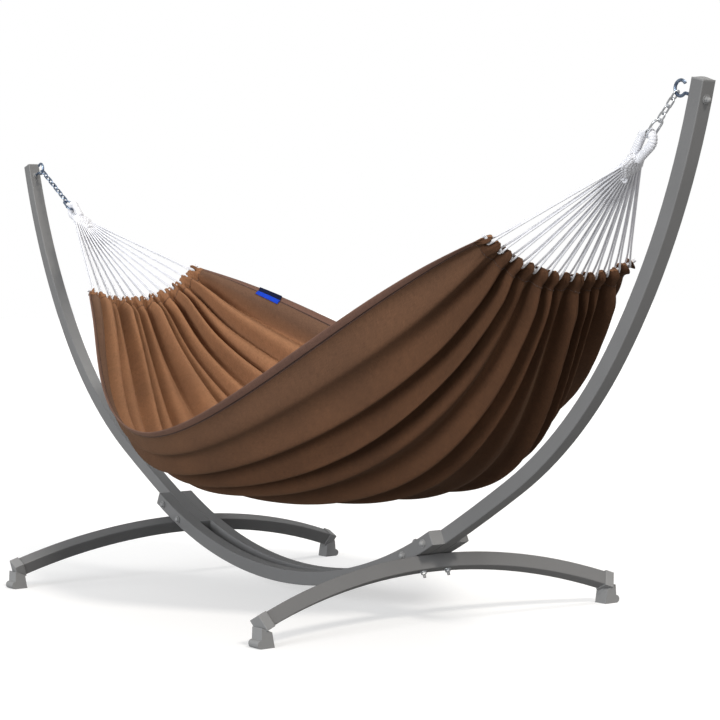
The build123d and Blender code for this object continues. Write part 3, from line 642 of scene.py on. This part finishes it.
def make_edge_band(far):
    """The rolled hem along a long edge: a closed strip round the cloth, thick at its roll and
    drawn in at the row of stitches."""
    side = 1 if far else -1
    u = rows_toward_hems(260) * band_share
    across = np.array([-0.0015, -0.0005, 0.0015, 0.008, 0.016, 0.0205, 0.0225, 0.0245, 0.026, 0.0268])
    height = np.array([0.0, 0.0018, 0.0024, 0.0021, 0.0019, 0.0018, 0.0011, 0.0017, 0.0017, 0.0009])
    across = np.concatenate([across, across[:0:-1]])
    height = np.concatenate([height, -height[:0:-1]])
    v = side * (1 - across * 2 / cloth_width)
    grid_u, grid_v = np.meshgrid(u, v, indexing="ij")
    points = cloth(grid_u, grid_v, np.broadcast_to(height, grid_u.shape))
    flat_v = np.append(v, v[0]) * cloth_width / 2
    uv = np.stack(np.broadcast_arrays((u * cloth_length / 2)[:, None], flat_v[None]), -1)
    name = "hem_band_far" if far else "hem_band_near"
    band = finished(name, [(points[None], uv, True, True)], hem_brown, "hammock")
    recalculated(band)
    return band


def stitch_row(u, v, lift, length=0.0036, radius=0.0006):
    """Stitches along a line on the cloth: each a small spindle, sunk at both ends."""
    here = cloth(u, v)
    normal = surface_normal(u, v)
    ends = np.linspace(0, 1, 5)
    bow = np.sin(np.pi * ends)
    gone = np.concatenate([[0], np.cumsum(np.linalg.norm(np.diff(here, axis=0), axis=1))])
    count = int(gone[-1] / (length * 1.35))
    start = np.linspace(0, gone[-1] - length, count)
    at = start[:, None] + length * ends[None]
    line = np.stack([np.interp(at, gone, here[:, axis]) for axis in range(3)], -1)
    out = unit(np.stack([np.interp(at, gone, normal[:, axis]) for axis in range(3)], -1))
    forward = unit(line[:, -1:] - line[:, :1])
    side = unit(np.cross(forward, out))
    angle = np.linspace(0, 2 * np.pi, 6, endpoint=False)
    ring = side[:, :, None] * np.cos(angle)[:, None] + out[:, :, None] * np.sin(angle)[:, None]
    size = radius * (0.25 + 0.75 * bow)[None, :, None, None]
    lifted = line + out * (np.sign(lift) * (abs(lift) + 0.0002 * bow))[None, :, None]
    return lifted[:, :, None] + ring * size


def make_stitches():
    """Rows of thread: along both rolled edges, and along both cuffs' seams, on both faces."""
    rows = []
    long_u = rows_toward_hems(1400) * stitched_share
    for side in (-1, 1):
        v = np.full_like(long_u, side * (1 - seam_inset * 2 / cloth_width))
        lifts = (edge_stitch_lift, -edge_stitch_lift)
        rows.extend(stitch_row(long_u, v, lift) for lift in lifts)
        across = np.linspace(-0.995, 0.995, 1600)
        u = hem_u(side, across, cuff_length - 0.003)
        lifts = (cuff_stitch_lift, -cuff_stitch_lift)
        rows.extend(stitch_row(u, across, lift, radius=0.0009) for lift in lifts)
    parts = [(row, None, True, True) for row in rows]
    stitches = finished("hem_stitches", parts, thread, "hammock")
    recalculated(stitches)
    return stitches


def make_tag():
    """The sewn tag: a thin slip that follows the cloth's inside, on the far edge."""
    u0, v0 = tag_at
    along, across = slopes(np.array([u0]), np.array([v0]))
    per_u, per_v = np.linalg.norm(along), np.linalg.norm(across)
    s, t = np.meshgrid(np.linspace(-1, 1, 15), np.linspace(-1, 1, 11), indexing="ij")
    u = u0 + s * tag_size[0] / 2 / per_u
    v = v0 + t * tag_size[1] / 2 / per_v
    uv = np.stack([s * tag_size[0] / 2, t * tag_size[1] / 2], -1)
    points = cloth(u, v, -tag_lift - tag_crown * np.cos(np.pi * s / 2))
    tag = finished("sewn_tag", [(points[None], uv, False, False)], tag_cloth, "hammock")
    wall = tag.modifiers.new("tag thickness", "SOLIDIFY")
    wall.thickness = tag_thickness
    wall.offset = 0.0
    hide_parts("tag")
    return tag


# ------------------------------------------------- cords, necks, loops, ropes


class Suspension:
    """One end's suspension line: x down the line from the hook, y across, z square to both."""

    def __init__(self, side):
        self.side = side
        self.name = "right" if side > 0 else "left"
        self.origin = np.array([side * hang_x, 0.0, hang_z])
        self.down = unit(trough(np.array(float(side)), np.array(0.0)) - self.origin)
        self.over = np.cross(self.down, [0.0, 1.0, 0.0])
        self.neck_at = loop_start[side] + loop_length

    def at(self, x, y, z):
        """The point x down the line, y across it and z square to both, all of one shape."""
        x, y, z = np.broadcast_arrays(x, y, z)
        straight = self.origin + x[..., None] * self.down
        return straight + y[..., None] * np.array([0, 1.0, 0]) + z[..., None] * self.over


def net_half(share):
    """Half the net's width at a share of the neck's length: it widens, then runs to a point."""
    widest = 1 - net_taper
    wide = blend(neck_top[0], neck_end[0], 2 * np.minimum(share, widest) - 1) / 2
    return wide * np.clip((1 - share) / net_taper, 0, 1)


def net_depth(share, inset):
    """Half the net's depth at a share of the neck's length, less an inset: it thins to its point."""
    half = blend(neck_top[1], neck_end[1], 2 * share - 1) / 2 - inset
    return half * np.minimum(1, 2.2 * (1 - share))


def cord_route(start, rope, across, radius):
    """Control points of one cord: down to the head rope, round its far side and back up."""
    along = start - rope
    reach = np.linalg.norm(along)
    along = along / reach
    across = unit(across - along * (across @ along))
    legs = [(reach, cord_apart), (0.7 * reach, cord_apart),
            (0.4 * reach, 1.05 * cord_apart), (0.2 * reach, 1.2 * cord_apart),
            (5.5 * radius, 1.6 * cord_apart), (2.6 * radius, 0.9 * radius),
            (0.8 * radius, 1.12 * radius), (-1.05 * radius, 0.98 * radius)]
    both = legs + [(x, -y) for x, y in legs[::-1]]
    return np.array([rope + along * x + across * y for x, y in both]), np.cross(along, across)


def make_cords(line):
    """Each cord leaves the neck, goes round the head rope in its notch and comes back up."""
    radius = rope_radius + cord_radius + rope_gap
    for number in range(cord_count):
        station = 2 * (number + 0.5) / cord_count - 1
        rope = hem_line(line.side, station)
        tangent = hem_line(line.side, station + 0.01) - hem_line(line.side, station - 0.01)
        start_share = 1 - net_taper * abs(station)
        across_neck = np.sign(station) * net_half(start_share)
        start = line.at(line.neck_at + start_share * neck_length - 0.004, across_neck, 0.0)
        along = unit(start - rope)
        route, side_way = cord_route(start, rope, np.cross(tangent, along), radius)
        path, at = evenly(spline_points(route, 16), 0.0021)
        grid, uv = twisted(path, at, side_way, cord_radius, rope_pitch["cord"], columns=12)
        name = f"cord_{line.name}_{number + 1:02d}"
        cord = finished(name, [(grid, uv, True, True)], white, "hammock")
        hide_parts(f"cords_{line.name}")


def overhand_knot(centre, forward, size, wire):
    """A closed trefoil of cord drawn tight: a turn that goes three times round in two laps."""
    t = np.linspace(0, 2 * np.pi, 60, endpoint=False)
    x = (np.sin(t) + 1.6 * np.sin(2 * t)) / 2.6
    y = (np.cos(t) - 1.6 * np.cos(2 * t)) / 2.6
    z = -np.sin(3 * t) * 0.42
    aside = unit(np.cross(forward, [1.0, 0.3, 0.2]))
    third = np.cross(forward, aside)
    line = centre + size * (x[:, None] * aside + y[:, None] * third + z[:, None] * forward)
    ahead = unit(np.roll(line, -1, 0) - np.roll(line, 1, 0))
    normal = unit(np.cross(ahead, line - centre))
    other = np.cross(ahead, normal)
    angle = np.linspace(0, 2 * np.pi, 10, endpoint=False)
    ring = normal[:, None] * np.cos(angle)[None, :, None] + other[:, None] * np.sin(angle)[None, :, None]
    grid = line[:, None] + wire * ring
    return np.concatenate([grid, grid[:1]])[None]


def make_head_rope(line):
    """The laid rope through a hem, with a knot outside each end."""
    v = np.linspace(-1.0, 1.0, 400)
    path = hem_line(line.side, v)
    path, at = evenly(path, 0.0022)
    grid, uv = twisted(path, at, (1.0, 0.0, 0.0), rope_radius, rope_pitch["head rope"], columns=18)
    parts = [(grid, uv, True, True)]
    for end, inner in ((path[0], path[1]), (path[-1], path[-2])):
        forward = unit(end - inner)
        knot = overhand_knot(end + forward * end_knot, forward, end_knot, end_knot_wire)
        parts.append((knot, None, True, False))
    rope = finished(f"head_rope_cord_{line.name}", parts, white, "hammock")
    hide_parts(f"head_rope_{line.name}")
    return rope


def make_end_loop(line):
    """The end loop: a bundle of cords bent into a ring and wrapped round with cord, each wrap a
    rounded rib."""
    radius, reach, leg = loop_radius, loop_length + loop_run_on, loop_leg
    angle = math.atan2(leg, reach) + math.acos(radius / math.hypot(reach, leg))
    turn = np.linspace(angle, 2 * np.pi - angle, 80)
    x = np.concatenate([[reach], radius * np.cos(turn), [reach]])
    z = np.concatenate([[leg], radius * np.sin(turn), [-leg]])
    path = line.at(loop_start[line.side] + x, 0.0, z)
    path, at = evenly(path, 0.0007)
    round_columns = 28
    angle = np.linspace(0, 2 * np.pi, round_columns, endpoint=False)
    wrap = np.abs(np.sin(np.pi * (at[:, None] / rope_pitch["loop wrap"] + angle[None] / (2 * np.pi))))
    ribbed = loop_wire * (0.80 + 0.20 * wrap**0.6)
    grid = rings(path, (0.0, 1.0, 0.0), ribbed)
    girth = np.linspace(0, 2 * np.pi * loop_wire, round_columns + 1)
    uv = np.stack(np.broadcast_arrays(at[:, None], girth[None]), -1)
    part = (grid[None], uv, True, True)
    loop = finished(f"wrapped_loop_{line.name}", [part], white, "hammock")
    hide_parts(f"end_loop_{line.name}")
    return loop


def tube_between(start, end, radius, columns=8, rows=9):
    """Short straight cords, one for each pair of points."""
    t = np.linspace(0, 1, rows)[None, :, None]
    line = start[:, None] + (end - start)[:, None] * t
    forward = np.broadcast_to(unit(end - start)[:, None], line.shape)
    first = unit(np.cross(forward, np.array([0.31, 0.17, 0.93])))
    second = np.cross(forward, first)
    angle = np.linspace(0, 2 * np.pi, columns, endpoint=False)
    ring = first[:, :, None] * np.cos(angle)[:, None] + second[:, :, None] * np.sin(angle)[:, None]
    return line[:, :, None] + radius * ring


def knot_wraps(centre, forward, aside, size, wire):
    """A square knot at each centre: a flattened coil of three turns round the cords."""
    t = np.linspace(0, 1, 40)
    turn = 2 * np.pi * 3 * t
    third = np.cross(forward, aside)
    wide = size * (1 - 0.3 * np.abs(2 * t - 1) ** 2)
    line = (centre[:, None] + (wide * np.cos(turn))[None, :, None] * aside[:, None]
            + (0.62 * wide * np.sin(turn))[None, :, None] * third[:, None]
            + ((t - 0.5) * 2.0 * size)[None, :, None] * forward[:, None])
    ahead = unit(np.gradient(line, axis=1))
    out = unit(line - centre[:, None] - forward[:, None] * ((t - 0.5) * 2.0 * size)[None, :, None])
    other = np.cross(ahead, out)
    angle = np.linspace(0, 2 * np.pi, 7, endpoint=False)
    ring = out[:, :, None] * np.cos(angle)[:, None] + other[:, :, None] * np.sin(angle)[:, None]
    return line[:, :, None] + wire * ring


def make_neck(line):
    """The knotted neck: rows of square knots in a net that widens and then runs to a point,
    with cords crossing between its rows, and one tight knot under its point."""
    per_row = [5, 6, 7, 7, 6, 5, 4, 3, 2]
    rows = len(per_row)
    layers = []
    for face in (1, -1):
        layer = []
        for row, knot_count in enumerate(per_row):
            share = (row + 0.35) / rows
            across = net_half(share) - 0.003
            deep = np.maximum(net_depth(share, net_inset), 0.003)
            spot = np.linspace(-1, 1, knot_count)
            y = across * (0.35 * np.sin(spot * np.pi / 2) + 0.65 * spot)
            z = face * deep * np.sqrt(np.clip(1 - (0.9 * spot) ** 2, 0.05, 1))
            layer.append(line.at(line.neck_at + share * neck_length, y, z))
        layers.append(layer)
    parts = []
    root = line.at(line.neck_at - 0.10, 0.0, 0.0)
    for layer in layers:
        for row, centre in enumerate(layer):
            forward = unit(centre - root)
            aside = unit(np.cross(forward, line.over))
            parts.append((knot_wraps(centre, forward, aside, knot_size, knot_wire), None, True, True))
            if row + 1 < rows:
                below = layer[row + 1]
                if len(below) == len(centre):
                    start, end = centre, below
                elif len(below) > len(centre):
                    start, end = np.concatenate([centre, centre]), np.concatenate([below[:-1], below[1:]])
                else:
                    start, end = np.concatenate([centre[:-1], centre[1:]]), np.concatenate([below, below])
                parts.append((tube_between(start, end, neck_strand), None, True, True))
        top = layer[0]
        gathered = line.at(line.neck_at - 0.006, 0, 0) + 0.5 * (top - line.at(line.neck_at, 0, 0))
        parts.append((tube_between(gathered, top, neck_root), None, True, True))
    core_x = np.linspace(-0.004, neck_length - 0.006, 24)
    share = np.clip(core_x / neck_length, 0, 1)
    angle = np.linspace(0, 2 * np.pi, 36, endpoint=False)
    wide = np.maximum(net_half(share) - 0.008, 0.002)
    deep = np.maximum(net_depth(share, core_inset), 0.001)
    core_y, core_z = wide[:, None] * np.cos(angle), deep[:, None] * np.sin(angle)
    core = line.at(line.neck_at + core_x[:, None], core_y, core_z)
    parts.append((core[None], None, True, True))
    tuft = line.at(line.neck_at + neck_length, 0.0, 0.004)
    parts.append((overhand_knot(tuft, line.down, tuft_size, tuft_wire), None, True, False))
    neck = finished(f"knotted_neck_{line.name}", parts, white, "hammock")
    recalculated(neck)
    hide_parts(f"neck_{line.name}")
    return neck


# --------------------------------------------------------- camera, floor, light


def place_camera():
    yaw, pitch, roll = (math.radians(a) for a in (camera_yaw, camera_pitch, camera_roll))
    back = np.array([math.sin(yaw) * math.cos(pitch), -math.cos(yaw) * math.cos(pitch), math.sin(pitch)])
    right = unit(np.cross(-back, [0, 0, 1.0]))
    up = np.cross(right, -back)
    turned = right * math.cos(roll) + up * math.sin(roll)
    upright = -right * math.sin(roll) + up * math.cos(roll)
    camera = bpy.data.objects.new("camera", bpy.data.cameras.new("camera"))
    camera.data.lens = lens
    camera.data.sensor_width = sensor
    camera.data.shift_x, camera.data.shift_y = lens_shift
    matrix = np.eye(4)
    matrix[:3, 0], matrix[:3, 1], matrix[:3, 2], matrix[:3, 3] = turned, upright, back, camera_place
    camera.matrix_world = Matrix(matrix.tolist())
    bpy.context.scene.collection.objects.link(camera)
    bpy.context.scene.camera = camera


def sunlight(name, toward, spread, strength, colour):
    """Even light from one direction; spread is the width of its source in degrees."""
    lamp = bpy.data.lights.new(name, "SUN")
    lamp.angle = math.radians(spread)
    lamp.energy = strength
    lamp.color = colour
    holder = bpy.data.objects.new(name, lamp)
    holder.rotation_mode = "QUATERNION"
    holder.rotation_quaternion = Vector(toward).to_track_quat("Z", "Y")
    bpy.context.scene.collection.objects.link(holder)


def light_scene():
    """A weak key from above, a warm light from half way up on the right that catches the
    folds' crests, a broad one from the front, and a pale room that shows white and lights less."""
    sunlight("key", (0.10, 0.40, 0.90), 20, 0.8, (1.0, 0.98, 0.95))
    sunlight("side", (0.72, -0.06, 0.68), 10, 1.8, (1.0, 0.95, 0.88))
    sunlight("front", (0.25, -0.90, 0.24), 30, 2.7, (0.96, 0.98, 1.0))
    world = bpy.data.worlds.new("room")
    world.use_nodes = True
    tree = world.node_tree
    room = tree.nodes["Background"]
    room.inputs["Color"].default_value = (1, 1, 1, 1)
    seen = tree.nodes.new("ShaderNodeLightPath")
    strength = tree.nodes.new("ShaderNodeMapRange")
    strength.inputs["To Min"].default_value = room_light
    strength.inputs["To Max"].default_value = room_seen
    tree.links.new(seen.outputs["Is Camera Ray"], strength.inputs["Value"])
    tree.links.new(strength.outputs[0], room.inputs["Strength"])
    bpy.context.scene.world = world


def make_floor():
    """A pale floor that reaches past the view. It throws back less light than it shows."""
    half = 60.0
    mesh = bpy.data.meshes.new("floor")
    corners = [(-half, -half, 0), (half, -half, 0), (half, half, 0), (-half, half, 0)]
    mesh.from_pydata(corners, [], [(0, 1, 2, 3)])
    nodes = Nodes("pale_floor", Roughness=0.9, Specular_IOR_Level=0.0, Emission_Color=(1, 1, 1, 1))
    seen = nodes.add("ShaderNodeLightPath").outputs["Is Camera Ray"]
    nodes.wire(Base_Color=nodes.mix(seen, (floor_light,) * 3, (floor_seen,) * 3),
               Emission_Strength=nodes.range(seen, 0.0, floor_glow))
    mesh.materials.append(nodes.material)
    floor = bpy.data.objects.new("floor", mesh)
    bpy.context.scene.collection.objects.link(floor)


place_camera()
lines = [Suspension(1), Suspension(-1)]
for line in lines:
    make_cords(line)
dress_frame()
bed = make_bed()
bands = [make_edge_band(False), make_edge_band(True)]
cuffs = [make_cuffs(line.side, line.name) for line in lines]
stitches = make_stitches()
make_tag()
for line in lines:
    make_head_rope(line)
    make_end_loop(line)
    make_neck(line)
make_floor()
light_scene()
bpy.context.scene.view_settings.view_transform = "Standard"
